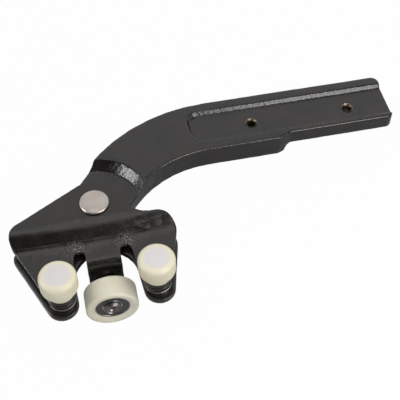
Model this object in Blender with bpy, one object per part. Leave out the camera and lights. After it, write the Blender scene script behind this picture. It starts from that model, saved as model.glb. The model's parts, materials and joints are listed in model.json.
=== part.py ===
"""Sliding door roller: a forged arm with a swivelling roller carriage.

Units are metres, +Z is up.  The part's origin is the middle of the arm's mounting face, halfway
between the two threaded holes.  Everything is drawn about the pivot pin instead, with the pin's
axis at x = y = 0 and the carriage's upper surface at z = 0, under one parent empty that carries
that offset.
"""
import math

import bmesh
import bpy
from mathutils import Matrix, Vector

MM = 0.001

# Gaps between pieces
SEAT_GAP = 0.3 * MM          # between two faces that rest on each other
BORE_GAP = 0.25 * MM         # between a pin and its hole, all round
PAST = 5.0 * MM              # how far a cutter runs past the face it opens

# Arm, drawn from above about the pivot pin
ARM_TOP = 1.9 * MM
ARM_THICKNESS = 16.0 * MM
EYE_RADIUS = 12.8 * MM
EYE_FRONT_HIP = (17.8 * MM, 2.0 * MM, 5.6 * MM)
EYE_BACK_HIP = (-9.1 * MM, 7.7 * MM, 6.0 * MM)
SHOULDER_FOOT_RADIUS = 27.3 * MM
SHOULDER_TOP_RADIUS = 33.0 * MM
BEND_FRONT_CENTRE = (75.0 * MM, -38.9 * MM)
BEND_FRONT_RADIUS = 64.5 * MM
BEND_BACK_CENTRE_X = 80.0 * MM
ARM_WIDTH = 40.0 * MM        # over the straight part, before the tail
TAIL_STEP = 3.3 * MM         # how much narrower the tail is, along its front edge
TAIL_THICKNESS = 11.0 * MM
TAIL_START = 125.0 * MM
TAIL_BLEND = 5.0 * MM
TAIL_HEEL_RUN = 4.0 * MM
TAIL_HEEL_RADIUS = 2.5 * MM
ARM_END = 198.0 * MM
ARM_END_CORNER = 5.0 * MM
ARM_EDGE_ROUND = 1.8 * MM

# Mounting recess and its two threaded holes
RECESS_DEPTH = 2.9 * MM
RECESS_START = 68.0 * MM
RECESS_BACK_RIM = 9.2 * MM
RECESS_FRONT_RIM = 8.8 * MM
RECESS_WALL_RUN = 2.0 * MM
RECESS_FRONT_CORNER = 0.545  # corner radii of the closed end, as shares of the recess's width
RECESS_BACK_CORNER = 0.273
BOLT_SPACING = 64.0 * MM
BOLT_MIDDLE_TO_END = 59.0 * MM
BOLT_LINE_OFFSET = 1.0 * MM  # the holes sit this far in front of the recess's middle line
BOLT_HOLE_RADIUS = 2.6 * MM
BOLT_CHAMFER_RADIUS = 3.8 * MM

# Pivot pin, its washer and the two flanged bushes in the arm's eye
PIN_RADIUS = 5.0 * MM
PIN_HEAD_RADIUS = 8.8 * MM
PIN_HEAD_THICKNESS = 1.6 * MM
PIN_HEAD_ROUND = 0.6 * MM
PIN_RIVET_RADIUS = 7.0 * MM
PIN_RIVET_THICKNESS = 2.0 * MM
PIVOT_WASHER_RADIUS = 9.0 * MM
PIVOT_WASHER_THICKNESS = 1.5 * MM
BUSH_WALL = 1.25 * MM
BUSH_FLANGE_RADIUS = 9.5 * MM
BUSH_FLANGE_THICKNESS = 1.2 * MM

# Stamped plates of the carriage
PLATE_THICKNESS = 4.0 * MM
LOBE_GAP = 2.0 * MM          # space left between the two plates at the guide rollers
NOSE_RADIUS = 17.6 * MM
JOGGLE_TOP_Y = -13.8 * MM
JOGGLE_RUN = 8.4 * MM
JOGGLE_BEND_RADIUS = 1.5 * MM
JOGGLE_BOW = 2.0 * MM        # how far the bend line bows towards the rollers in the middle
JOGGLE_EAR_START = 22.0 * MM
JOGGLE_EAR_SPREAD = 5.0 * MM
JOGGLE_SPAN = 60.0 * MM
JOGGLE_STATIONS = 16
BEND_STEPS = 4

UPPER_SHOULDER = (-43.1 * MM, -13.9 * MM, 9.0 * MM)
UPPER_LOBE_RADIUS = 8.4 * MM
UPPER_EAR = (34.9 * MM, -21.2 * MM, 10.5 * MM)
UPPER_FILLET = (30.5 * MM, 1.3 * MM, -12.0 * MM)
LOWER_SHOULDER = (-44.9 * MM, -20.5 * MM, 7.0 * MM)
LOWER_LOBE_RADIUS = 9.3 * MM
LOWER_LOBE_FORWARD = 2.8 * MM
LOWER_LOBE_SPREAD = 0.5 * MM
LOWER_EAR = (36.9 * MM, -27.0 * MM, 8.0 * MM)
LOWER_FILLET = (33.0 * MM, -5.7 * MM, -12.0 * MM)
CUT_OUT_Y = -43.0 * MM
CUT_OUT_CLEARANCE = 2.8 * MM

# Tongue bent down from the upper plate, with a relief slot on each side
TONGUE_WIDTH = 21.2 * MM
TONGUE_FRONT_Y = -38.0 * MM
TONGUE_BEND_RADIUS = 2.5 * MM
JOIN_STEP = 0.02 * MM        # keeps the tongue's faces just inside the flange's where they join
SLOT_WIDTH = 5.8 * MM
SLOT_END_Y = -27.1 * MM

# Guide rollers on upright studs
GUIDE_CLEARANCE = 2.5 * MM   # between the tyre and the lower plate's lobes
GUIDE_MIDDLE_X = 0.9 * MM
GUIDE_Y = -53.2 * MM
GUIDE_RADIUS = 10.7 * MM
GUIDE_HEIGHT = 20.4 * MM     # from the plate's flange to the roller's top
GUIDE_CROWN_HEIGHT = 11.8 * MM
GUIDE_TOP_ROUND = 3.5 * MM
GUIDE_NECK_RADIUS = 8.0 * MM
GUIDE_TOP_WALL = 5.0 * MM
STUD_RADIUS = 4.0 * MM
STUD_JOURNAL_RADIUS = 4.5 * MM
STUD_SNAP_RADIUS = 5.1 * MM
STUD_SNAP_HEIGHT = 1.2 * MM
STUD_RIVET_RADIUS = 6.0 * MM
STUD_RIVET_THICKNESS = 1.8 * MM
GUIDE_WASHER_THICKNESS = 2.0 * MM
SPACER_RADIUS = 8.0 * MM

# Load roller: tyre moulded over a ball bearing, on a riveted axle
TYRE_RADIUS = 15.5 * MM
TYRE_FRONT = 5.6 * MM        # from the bearing's middle to each end of the tyre
TYRE_BACK = 8.4 * MM
TYRE_STAND_OFF = 6.3 * MM    # from the tongue's face to the tyre
TYRE_ROUND = 1.6 * MM
TYRE_DISH = 1.4 * MM         # how far the front face falls back from this radius to the lip
TYRE_DISH_RADIUS = 13.0 * MM
TYRE_LIP_RADIUS = 10.2 * MM
AXLE_X = 0.4 * MM
AXLE_DROP = 18.1 * MM        # from the plate's flange down to the axle
AXLE_RADIUS = 4.0 * MM
AXLE_HEAD_RADIUS = 6.5 * MM
AXLE_HEAD_THICKNESS = 2.0 * MM
AXLE_RIVET_RADIUS = 5.4 * MM
AXLE_RIVET_THICKNESS = 1.5 * MM
AXLE_SOCKET_RADIUS = 2.0 * MM
AXLE_SOCKET_FLOOR_RADIUS = 1.4 * MM
AXLE_SOCKET_DEPTH = 1.0 * MM
AXLE_WASHER_RADIUS = 8.0 * MM
AXLE_WASHER_THICKNESS = 1.2 * MM
AXLE_SPACER_RADIUS = 6.0 * MM
BEARING_RADIUS = 11.0 * MM
BEARING_WIDTH = 7.0 * MM
BALL_RADIUS = 1.98 * MM
BALL_COUNT = 7
BALL_CIRCLE_RADIUS = 7.55 * MM
RACE_SHOULDER = 1.5 * MM     # from the ball circle to each ring's shoulder
SHIELD_THICKNESS = 0.4 * MM
SHIELD_INSET = 0.25 * MM
SHIELD_SEAT_RADIUS = 9.8 * MM
SHIELD_BORE_RADIUS = 6.45 * MM
CAGE_WALL = 0.9 * MM         # half the cage's radial width
CAGE_BACK_WALL = 0.25 * MM   # left behind the ball pockets
CAGE_SET_BACK = 0.8 * MM     # from the balls' middle to the cage's open side

# Facets
ROUND_SEGMENTS = 36          # of a turned piece that shows
HIDDEN_SEGMENTS = 24         # of a turned piece that is mostly hidden, and of a plain hole
SHOULDER_SEGMENTS = 60
CAGE_SEGMENTS = 42
BALL_SEGMENTS = 12
BALL_RINGS = 8
TYRE_ROUND_STEPS = 4
CROWN_ROUND_STEPS = 5

# Arm's faces
ARM_BOTTOM = ARM_TOP - ARM_THICKNESS
ARM_FRONT_Y = BEND_FRONT_CENTRE[1] + BEND_FRONT_RADIUS
ARM_BACK_Y = ARM_FRONT_Y + ARM_WIDTH
RECESS_FLOOR = ARM_TOP - RECESS_DEPTH
RECESS_BACK_Y = ARM_BACK_Y - RECESS_BACK_RIM
RECESS_WIDTH = ARM_WIDTH - RECESS_BACK_RIM - RECESS_FRONT_RIM
BOLT_MIDDLE_X = ARM_END - BOLT_MIDDLE_TO_END
BOLT_MIDDLE_Y = RECESS_BACK_Y - RECESS_WIDTH / 2 - BOLT_LINE_OFFSET
PIVOT_OFFSET = Vector((-BOLT_MIDDLE_X, -BOLT_MIDDLE_Y, -RECESS_FLOOR))

# Stack of the eye between the plates: the lower plate seats under the arm, the upper plate lies on
# the cut-down eye and its joggle brings it down to the lower plate
EYE_TOP = -PLATE_THICKNESS - SEAT_GAP
EYE_TOP_DROP = ARM_TOP - EYE_TOP
LOWER_TOP = ARM_BOTTOM - SEAT_GAP
LOWER_BOTTOM = LOWER_TOP - PLATE_THICKNESS
FLANGE_BOTTOM = LOWER_TOP + LOBE_GAP
FLANGE_TOP = FLANGE_BOTTOM + PLATE_THICKNESS
PLATE_DROP = -FLANGE_TOP

# Rollers
GUIDE_SPACING = 2 * (TYRE_RADIUS + GUIDE_CLEARANCE + LOWER_LOBE_RADIUS)
GUIDE_TOP_Z = FLANGE_TOP + GUIDE_HEIGHT
LOAD_MIDDLE_Y = TONGUE_FRONT_Y - TYRE_STAND_OFF - TYRE_BACK
AXLE_Z = FLANGE_TOP - AXLE_DROP


# ---------------------------------------------------------------- shapes

def arc(centre, radius, start, end, steps):
    """Points along an arc, both ends included; angles in radians."""
    points = []
    for step in range(steps + 1):
        angle = start + (end - start) * step / steps
        points.append((centre[0] + radius * math.cos(angle), centre[1] + radius * math.sin(angle)))
    return points


def wrap(circles, arc_step=math.radians(12.0)):
    """Outline drawn anticlockwise round circles (x, y, radius) that straight tangents join.

    A negative radius is a hollow round that the outline passes on its other side, and a radius of
    zero is a sharp corner.
    """
    normals = []
    for this, following in zip(circles, circles[1:] + circles[:1]):
        across = Vector((following[0] - this[0], following[1] - this[1]))
        heading = math.atan2(across.y, across.x)
        normals.append(heading - math.acos((this[2] - following[2]) / across.length))
    points = []
    for index, (x, y, radius) in enumerate(circles):
        start = normals[index - 1]
        turn = (normals[index] - start) % math.tau
        if radius < 0.0:
            turn -= math.tau
        if radius == 0.0:
            points.append((x, y))
            continue
        steps = max(2, round(abs(turn) / arc_step))
        points.extend(arc((x, y), radius, start, start + turn, steps))
    return points


def finish(mesh_data, name, material, location=(0.0, 0.0, 0.0), rotation=(0.0, 0.0, 0.0), parent=None):
    """Turn a bmesh into a named object with its faces pointing out."""
    bmesh.ops.remove_doubles(mesh_data, verts=mesh_data.verts, dist=1e-6)
    bmesh.ops.recalc_face_normals(mesh_data, faces=mesh_data.faces)
    mesh = bpy.data.meshes.new(name)
    mesh_data.to_mesh(mesh)
    mesh_data.free()
    mesh.shade_smooth()
    mesh.set_sharp_from_angle(angle=math.radians(35.0))
    piece = bpy.data.objects.new(name, mesh)
    bpy.context.collection.objects.link(piece)
    piece.location = location
    piece.rotation_euler = rotation
    piece.parent = parent
    if material:
        mesh.materials.append(material)
    return piece


def loft(lower, upper):
    """Closed solid between two loops of 3-D points with as many points each."""
    solid = bmesh.new()
    rings = [[solid.verts.new(point) for point in loop] for loop in (lower, upper)]
    solid.faces.new(reversed(rings[0]))
    solid.faces.new(rings[1])
    count = len(lower)
    for index in range(count):
        after = (index + 1) % count
        solid.faces.new((rings[0][index], rings[0][after], rings[1][after], rings[1][index]))
    return solid


def prism(outline, low, high):
    """Outline in plan, extruded from one height to another."""
    return loft([(x, y, low) for x, y in outline], [(x, y, high) for x, y in outline])


def turned(profile, segments=ROUND_SEGMENTS):
    """Closed profile of (radius, height) points, turned about Z."""
    solid = bmesh.new()
    rings = []
    for step in range(segments):
        angle = math.tau * (step + 0.5) / segments
        direction = (math.cos(angle), math.sin(angle))
        rings.append([solid.verts.new((r * direction[0], r * direction[1], z)) for r, z in profile])
    for step in range(segments):
        this, following = rings[step], rings[(step + 1) % segments]
        for index in range(len(profile)):
            before = index - 1
            corners = (this[before], following[before], following[index], this[index])
            if profile[before][0] == 0.0 and profile[index][0] == 0.0:
                continue
            if profile[before][0] == 0.0:
                corners = (this[before], following[index], this[index])
            elif profile[index][0] == 0.0:
                corners = (this[before], following[before], this[index])
            solid.faces.new(corners)
    return solid


def ring(bore, outer, low, high):
    """Profile of a plain ring or washer."""
    return [(bore, low), (outer, low), (outer, high), (bore, high)]


def rounded_corner(outer, high, radius, steps=3):
    """Profile points that round a turned piece's upper outer corner, outside first."""
    return arc((outer - radius, high - radius), radius, 0.0, math.pi / 2, steps)


def cut(piece, tool, operation="DIFFERENCE"):
    """Boolean with a cutter that stays in the scene as a hidden wire guide."""
    tool.hide_render = True
    tool.display_type = "WIRE"
    tool.parent = piece.parent
    modifier = piece.modifiers.new(tool.name, "BOOLEAN")
    modifier.operation = operation
    modifier.solver = "EXACT"
    modifier.object = tool


# ---------------------------------------------------------------- materials

def make_material(name, colour, roughness, metallic):
    material = bpy.data.materials.new(name)
    material.use_nodes = True
    shader = material.node_tree.nodes["Principled BSDF"]
    shader.inputs["Base Color"].default_value = (*colour, 1.0)
    shader.inputs["Roughness"].default_value = roughness
    shader.inputs["Metallic"].default_value = metallic
    return material


def make_materials():
    return {
        "black_coat": make_material("black_coat", (0.030, 0.027, 0.025), 0.38, 0.0),
        "zinc": make_material("zinc", (0.50, 0.46, 0.42), 0.35, 1.0),
        "bearing_steel": make_material("bearing_steel", (0.42, 0.42, 0.42), 0.25, 1.0),
        "shield": make_material("shield", (0.06, 0.06, 0.06), 0.45, 0.0),
        "nylon": make_material("nylon", (0.80, 0.77, 0.64), 0.45, 0.0),
        "bronze": make_material("bronze", (0.45, 0.30, 0.15), 0.40, 1.0),
    }


# ---------------------------------------------------------------- arm

def arm_outline():
    """Plan of the arm: eye, bend, straight part, narrower tail."""
    back_radius = ARM_BACK_Y - BEND_FRONT_CENTRE[1]
    tail_front_y = ARM_FRONT_Y + TAIL_STEP
    return wrap([
        (0.0, 0.0, EYE_RADIUS),
        EYE_FRONT_HIP,
        (*BEND_FRONT_CENTRE, -BEND_FRONT_RADIUS),
        (TAIL_START - TAIL_BLEND, ARM_FRONT_Y + TAIL_BLEND, TAIL_BLEND),
        (TAIL_START + TAIL_BLEND, tail_front_y - TAIL_BLEND, -TAIL_BLEND),
        (ARM_END - ARM_END_CORNER, tail_front_y + ARM_END_CORNER, ARM_END_CORNER),
        (ARM_END - ARM_END_CORNER, ARM_BACK_Y - ARM_END_CORNER, ARM_END_CORNER),
        (BEND_BACK_CENTRE_X, BEND_FRONT_CENTRE[1], back_radius),
        EYE_BACK_HIP,
    ], math.radians(7.5))


def tail_underside():
    """Side view of what is left away under the tail, as a solid across the arm."""
    tail_bottom = ARM_TOP - TAIL_THICKNESS
    below = ARM_BOTTOM - PAST
    beyond = ARM_END + PAST
    side = wrap([
        (TAIL_START - TAIL_HEEL_RADIUS, below, 0.0),
        (beyond, below, 0.0),
        (beyond, tail_bottom, 0.0),
        (TAIL_START + TAIL_HEEL_RUN, tail_bottom - TAIL_HEEL_RADIUS, TAIL_HEEL_RADIUS),
    ], math.radians(30.0))
    low_y = ARM_FRONT_Y - PAST
    high_y = ARM_BACK_Y + PAST
    return loft([(x, low_y, z) for x, z in side], [(x, high_y, z) for x, z in side])


def shoulder_space():
    """What is turned away round the eye, down to its top and out to the sloping shoulder."""
    above = EYE_TOP_DROP + PAST
    slope = (SHOULDER_TOP_RADIUS - SHOULDER_FOOT_RADIUS) / EYE_TOP_DROP
    return turned([
        (0.0, EYE_TOP),
        (SHOULDER_FOOT_RADIUS, EYE_TOP),
        (SHOULDER_FOOT_RADIUS + slope * above, EYE_TOP + above),
        (0.0, EYE_TOP + above),
    ], SHOULDER_SEGMENTS)


def recess_outline(grow):
    """Plan of the recess, open at the arm's end, grown sideways by the wall's slope."""
    beyond = ARM_END + PAST
    front_y = RECESS_BACK_Y - RECESS_WIDTH
    back = RECESS_BACK_CORNER * RECESS_WIDTH
    front = RECESS_FRONT_CORNER * RECESS_WIDTH
    return wrap([
        (beyond, front_y - grow, 0.0),
        (beyond, RECESS_BACK_Y + grow, 0.0),
        (RECESS_START + back, RECESS_BACK_Y - back, back + grow),
        (RECESS_START + front, front_y + front, front + grow),
    ])


def recess_space():
    """Recess with sloping walls; it runs past the top and past the arm's end."""
    grow = RECESS_WALL_RUN * (RECESS_DEPTH + PAST) / RECESS_DEPTH
    low = [(x, y, RECESS_FLOOR) for x, y in recess_outline(0.0)]
    high = [(x, y, ARM_TOP + PAST) for x, y in recess_outline(grow)]
    return loft(low, high)


def bolt_space():
    """Threaded hole at its core size, with a countersink at the recess floor."""
    chamfer = BOLT_CHAMFER_RADIUS - BOLT_HOLE_RADIUS
    below = ARM_BOTTOM - PAST
    return turned([
        (0.0, below),
        (BOLT_HOLE_RADIUS, below),
        (BOLT_HOLE_RADIUS, RECESS_FLOOR - chamfer),
        (BOLT_CHAMFER_RADIUS + chamfer, RECESS_FLOOR + chamfer),
        (0.0, RECESS_FLOOR + chamfer),
    ], HIDDEN_SEGMENTS)


def eye_bore():
    """Bore for the two bushes, with a counterbore for each flange."""
    bore = PIN_RADIUS + 2 * BORE_GAP + BUSH_WALL
    counterbore = BUSH_FLANGE_RADIUS + BORE_GAP
    depth = BUSH_FLANGE_THICKNESS + SEAT_GAP
    return turned([
        (0.0, ARM_BOTTOM - PAST),
        (counterbore, ARM_BOTTOM - PAST),
        (counterbore, ARM_BOTTOM + depth),
        (bore, ARM_BOTTOM + depth),
        (bore, EYE_TOP - depth),
        (counterbore, EYE_TOP - depth),
        (counterbore, EYE_TOP + PAST),
        (0.0, EYE_TOP + PAST),
    ], HIDDEN_SEGMENTS)


def make_arm(root, materials):
    arm = finish(prism(arm_outline(), ARM_BOTTOM, ARM_TOP), "arm", materials["black_coat"], parent=root)
    cut(arm, finish(tail_underside(), "tail_cutter", None))
    bevel = arm.modifiers.new("edge_rounding", "BEVEL")
    bevel.width = ARM_EDGE_ROUND
    bevel.segments = 2
    bevel.limit_method = "ANGLE"
    bevel.angle_limit = math.radians(50.0)
    cut(arm, finish(shoulder_space(), "shoulder_cutter", None))
    cut(arm, finish(recess_space(), "recess_cutter", None))
    cut(arm, finish(eye_bore(), "eye_cutter", None))
    for side in (-1, 1):
        place = (BOLT_MIDDLE_X + side * BOLT_SPACING / 2, BOLT_MIDDLE_Y, 0.0)
        cut(arm, finish(bolt_space(), f"bolt_cutter_{side}", None, location=place))
    return arm


# ---------------------------------------------------------------- pivot

def make_bushes(root, materials):
    """Two flanged bushes pressed into the eye from above and below."""
    bore = PIN_RADIUS + BORE_GAP
    outer = bore + BUSH_WALL
    middle = (EYE_TOP + ARM_BOTTOM) / 2
    for name, face, inward in (("pivot_bush_upper", EYE_TOP, -1), ("pivot_bush_lower", ARM_BOTTOM, 1)):
        profile = [
            (bore, face),
            (BUSH_FLANGE_RADIUS, face),
            (BUSH_FLANGE_RADIUS, face + inward * BUSH_FLANGE_THICKNESS),
            (outer, face + inward * BUSH_FLANGE_THICKNESS),
            (outer, middle - inward * SEAT_GAP / 2),
            (bore, middle - inward * SEAT_GAP / 2),
        ]
        finish(turned(profile, HIDDEN_SEGMENTS), name, materials["bronze"], parent=root)


def make_pivot_pin(carriage, materials):
    """Headed pin, riveted over below the washer under the lower plate."""
    head_low = SEAT_GAP
    washer_bottom = LOWER_BOTTOM - SEAT_GAP - PIVOT_WASHER_THICKNESS
    rivet_top = washer_bottom - SEAT_GAP
    rivet_round = PIN_RIVET_THICKNESS / 2
    profile = [(0.0, rivet_top - PIN_RIVET_THICKNESS)]
    profile.append((PIN_RIVET_RADIUS - rivet_round, rivet_top - PIN_RIVET_THICKNESS))
    profile.append((PIN_RIVET_RADIUS, rivet_top - rivet_round))
    profile.append((PIN_RIVET_RADIUS, rivet_top))
    profile.append((PIN_RADIUS, rivet_top))
    profile.append((PIN_RADIUS, head_low))
    profile.append((PIN_HEAD_RADIUS, head_low))
    profile.extend(rounded_corner(PIN_HEAD_RADIUS, head_low + PIN_HEAD_THICKNESS, PIN_HEAD_ROUND))
    profile.append((0.0, head_low + PIN_HEAD_THICKNESS))
    finish(turned(profile), "pivot_pin", materials["zinc"], parent=carriage)
    washer = ring(PIN_RADIUS + BORE_GAP, PIVOT_WASHER_RADIUS, washer_bottom, LOWER_BOTTOM - SEAT_GAP)
    finish(turned(washer, HIDDEN_SEGMENTS), "pivot_washer", materials["zinc"], parent=carriage)


# ---------------------------------------------------------------- plates

def guide_places():
    """Names and axes of the two guide rollers."""
    half = GUIDE_SPACING / 2
    return [("left", GUIDE_MIDDLE_X - half), ("right", GUIDE_MIDDLE_X + half)]


def upper_outline():
    """Plan of the upper plate, up to where the tongue starts to bend."""
    lobes = [(x, GUIDE_Y, UPPER_LOBE_RADIUS) for _, x in guide_places()]
    half_tongue = TONGUE_WIDTH / 2
    slot_x = half_tongue + SLOT_WIDTH / 2
    slot_y = SLOT_END_Y - SLOT_WIDTH / 2
    tongue_y = slot_y - SLOT_WIDTH / 2
    return wrap([
        (0.0, 0.0, NOSE_RADIUS),
        UPPER_SHOULDER,
        lobes[0],
        (-slot_x, slot_y, -SLOT_WIDTH / 2),
        (-half_tongue, tongue_y, 0.0),
        (half_tongue, tongue_y, 0.0),
        (slot_x, slot_y, -SLOT_WIDTH / 2),
        lobes[1],
        UPPER_EAR,
        UPPER_FILLET,
    ])


def lower_outline():
    """Plan of the lower plate, with the round cut-out that clears the load roller."""
    lobe_y = GUIDE_Y - LOWER_LOBE_FORWARD
    spread = {"left": -LOWER_LOBE_SPREAD, "right": LOWER_LOBE_SPREAD}
    lobes = [(x + spread[side], lobe_y, LOWER_LOBE_RADIUS) for side, x in guide_places()]
    return wrap([
        (0.0, 0.0, NOSE_RADIUS),
        LOWER_SHOULDER,
        lobes[0],
        (0.0, CUT_OUT_Y, -(TYRE_RADIUS + CUT_OUT_CLEARANCE)),
        lobes[1],
        LOWER_EAR,
        LOWER_FILLET,
    ])


def joggle_bends(x):
    """The joggle's two bends at one x: where each one's centre lies in (y, z), and their angle."""
    bow = JOGGLE_BOW * (1.0 - math.cos(math.pi * x / (2 * JOGGLE_SPAN)))
    into_ear = max(0.0, x - JOGGLE_EAR_START) / (JOGGLE_SPAN - JOGGLE_EAR_START)
    end = JOGGLE_TOP_Y - JOGGLE_RUN + bow
    start = JOGGLE_TOP_Y + bow + JOGGLE_EAR_SPREAD * into_ear
    run = start - end
    both = PLATE_THICKNESS + 2 * JOGGLE_BEND_RADIUS
    straight = math.sqrt(run ** 2 + (PLATE_DROP - both) ** 2 - both ** 2)
    angle = math.atan2(PLATE_DROP - both, run) + math.atan2(both, straight)
    upper = (start, -PLATE_THICKNESS - JOGGLE_BEND_RADIUS)
    lower = (end, FLANGE_TOP + JOGGLE_BEND_RADIUS)
    return upper, lower, angle


def joggled_sheet():
    """Sheet that runs from the table down the joggle to the flange, wider than the plate."""
    far_back = NOSE_RADIUS + PAST
    far_front = GUIDE_Y - UPPER_LOBE_RADIUS - PAST
    inner = JOGGLE_BEND_RADIUS
    outer = JOGGLE_BEND_RADIUS + PLATE_THICKNESS
    quarter = math.pi / 2
    sheet = bmesh.new()
    rings = []
    for step in range(JOGGLE_STATIONS + 1):
        x = JOGGLE_SPAN * (2 * step / JOGGLE_STATIONS - 1.0)
        upper, lower, angle = joggle_bends(x)
        top = [(far_back, 0.0)]
        top += arc(upper, outer, quarter, quarter + angle, BEND_STEPS)
        top += arc(lower, inner, angle - quarter, -quarter, BEND_STEPS)
        top += [(far_front, FLANGE_TOP)]
        bottom = [(far_front, FLANGE_BOTTOM)]
        bottom += arc(lower, outer, -quarter, angle - quarter, BEND_STEPS)
        bottom += arc(upper, inner, quarter + angle, quarter, BEND_STEPS)
        bottom += [(far_back, -PLATE_THICKNESS)]
        rings.append([sheet.verts.new((x, y, z)) for y, z in top + bottom])
    sheet.faces.new(rings[0])
    sheet.faces.new(reversed(rings[-1]))
    for this, following in zip(rings, rings[1:]):
        for index in range(len(this)):
            before = index - 1
            sheet.faces.new((this[before], this[index], following[index], following[before]))
    return sheet


def tongue_section():
    """Side view of the tongue: out of the flange, round the bend and down past the axle."""
    thickness = PLATE_THICKNESS - 2 * JOIN_STEP
    top = FLANGE_TOP - JOIN_STEP
    outer = TONGUE_BEND_RADIUS + thickness
    centre = (TONGUE_FRONT_Y + outer, top - outer)
    root_y = SLOT_END_Y - SLOT_WIDTH / 2
    foot = AXLE_Z - TONGUE_WIDTH
    outside = arc(centre, outer, math.pi / 2, math.pi, BEND_STEPS)
    inside = arc(centre, TONGUE_BEND_RADIUS, math.pi, math.pi / 2, BEND_STEPS)
    back_y = TONGUE_FRONT_Y + thickness
    return ([(root_y, top)] + outside + [(TONGUE_FRONT_Y, foot), (back_y, foot)]
            + inside + [(root_y, top - thickness)])


def make_tongue(carriage):
    """Tongue as a bent strip, its end rounded about the axle."""
    section = tongue_section()
    strip = loft([(-TONGUE_WIDTH, y, z) for y, z in section], [(TONGUE_WIDTH, y, z) for y, z in section])
    tongue = finish(strip, "tongue_strip", None, parent=carriage)
    half = TONGUE_WIDTH / 2 - JOIN_STEP
    face = wrap([
        (-half, 0.0, 0.0),
        (0.0, AXLE_Z, half),
        (half, 0.0, 0.0),
    ])
    near_y = TONGUE_FRONT_Y - PAST
    far_y = SLOT_END_Y + PAST
    end_shape = loft([(x, near_y, z) for x, z in face], [(x, far_y, z) for x, z in face])
    cut(tongue, finish(end_shape, "tongue_end", None), "INTERSECT")
    return tongue


def hole(name, x, y, radius, low, high):
    """Cutter for a plain hole through a plate."""
    profile = [(0.0, low), (radius, low), (radius, high), (0.0, high)]
    return finish(turned(profile, HIDDEN_SEGMENTS), name, None, location=(x, y, 0.0))


def make_upper_plate(carriage, materials):
    plate = finish(joggled_sheet(), "upper_plate", materials["black_coat"], parent=carriage)
    below = FLANGE_BOTTOM - PAST
    above = PAST
    blank = finish(prism(upper_outline(), below, above), "upper_blank", None)
    cut(plate, blank, "INTERSECT")
    cut(plate, make_tongue(carriage), "UNION")
    cut(plate, hole("upper_pin_cutter", 0.0, 0.0, PIN_RADIUS + BORE_GAP, below, above))
    for side, x in guide_places():
        cut(plate, hole(f"upper_stud_cutter_{side}", x, GUIDE_Y, STUD_RADIUS + BORE_GAP, below, above))
    axle_hole = [
        (0.0, -PAST),
        (AXLE_RADIUS + BORE_GAP, -PAST),
        (AXLE_RADIUS + BORE_GAP, PLATE_THICKNESS + PAST),
        (0.0, PLATE_THICKNESS + PAST),
    ]
    cutter = finish(turned(axle_hole, HIDDEN_SEGMENTS), "axle_cutter", None,
                    location=(AXLE_X, TONGUE_FRONT_Y, AXLE_Z), rotation=(-math.pi / 2, 0.0, 0.0))
    cut(plate, cutter)


def make_lower_plate(carriage, materials):
    plate = finish(prism(lower_outline(), LOWER_BOTTOM, LOWER_TOP), "lower_plate",
                   materials["black_coat"], parent=carriage)
    below = LOWER_BOTTOM - PAST
    above = LOWER_TOP + PAST
    cut(plate, hole("lower_pin_cutter", 0.0, 0.0, PIN_RADIUS + BORE_GAP, below, above))
    for side, x in guide_places():
        cut(plate, hole(f"lower_stud_cutter_{side}", x, GUIDE_Y, STUD_RADIUS + BORE_GAP, below, above))


# ---------------------------------------------------------------- guide rollers

def guide_heights():
    """Heights of the washer's top and of the roller's foot."""
    washer_top = FLANGE_TOP + SEAT_GAP + GUIDE_WASHER_THICKNESS
    return washer_top, washer_top + SEAT_GAP


def guide_roller_profile():
    """Nylon cap: crown over a narrower neck, with a blind bore that snaps over the stud."""
    _, foot = guide_heights()
    crown_low = GUIDE_TOP_Z - GUIDE_CROWN_HEIGHT
    bore = STUD_JOURNAL_RADIUS + BORE_GAP
    snap_bore = STUD_SNAP_RADIUS + BORE_GAP
    ceiling = GUIDE_TOP_Z - GUIDE_TOP_WALL
    snap_low = ceiling - 2 * SEAT_GAP - STUD_SNAP_HEIGHT
    profile = [
        (0.0, ceiling),
        (snap_bore, ceiling),
        (snap_bore, snap_low),
        (bore, snap_low),
        (bore, foot),
        (GUIDE_NECK_RADIUS, foot),
        (GUIDE_NECK_RADIUS, crown_low),
        (GUIDE_RADIUS, crown_low),
    ]
    profile.extend(rounded_corner(GUIDE_RADIUS, GUIDE_TOP_Z, GUIDE_TOP_ROUND, CROWN_ROUND_STEPS))
    profile.append((0.0, GUIDE_TOP_Z))
    return profile


def guide_stud_profile():
    """Stud riveted through both plates, with a journal and a snap head for the roller."""
    washer_top, _ = guide_heights()
    rivet_top = LOWER_BOTTOM - SEAT_GAP
    shoulder_low = FLANGE_TOP + SEAT_GAP
    head_top = GUIDE_TOP_Z - GUIDE_TOP_WALL - SEAT_GAP
    head_low = head_top - STUD_SNAP_HEIGHT
    return [
        (0.0, rivet_top - STUD_RIVET_THICKNESS),
        (STUD_RIVET_RADIUS - STUD_RIVET_THICKNESS / 2, rivet_top - STUD_RIVET_THICKNESS),
        (STUD_RIVET_RADIUS, rivet_top - STUD_RIVET_THICKNESS / 2),
        (STUD_RIVET_RADIUS, rivet_top),
        (STUD_RADIUS, rivet_top),
        (STUD_RADIUS, shoulder_low),
        (STUD_JOURNAL_RADIUS, shoulder_low),
        (STUD_JOURNAL_RADIUS, head_low),
        (STUD_SNAP_RADIUS, head_low),
        (STUD_JOURNAL_RADIUS, head_top),
        (0.0, head_top),
    ]


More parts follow.
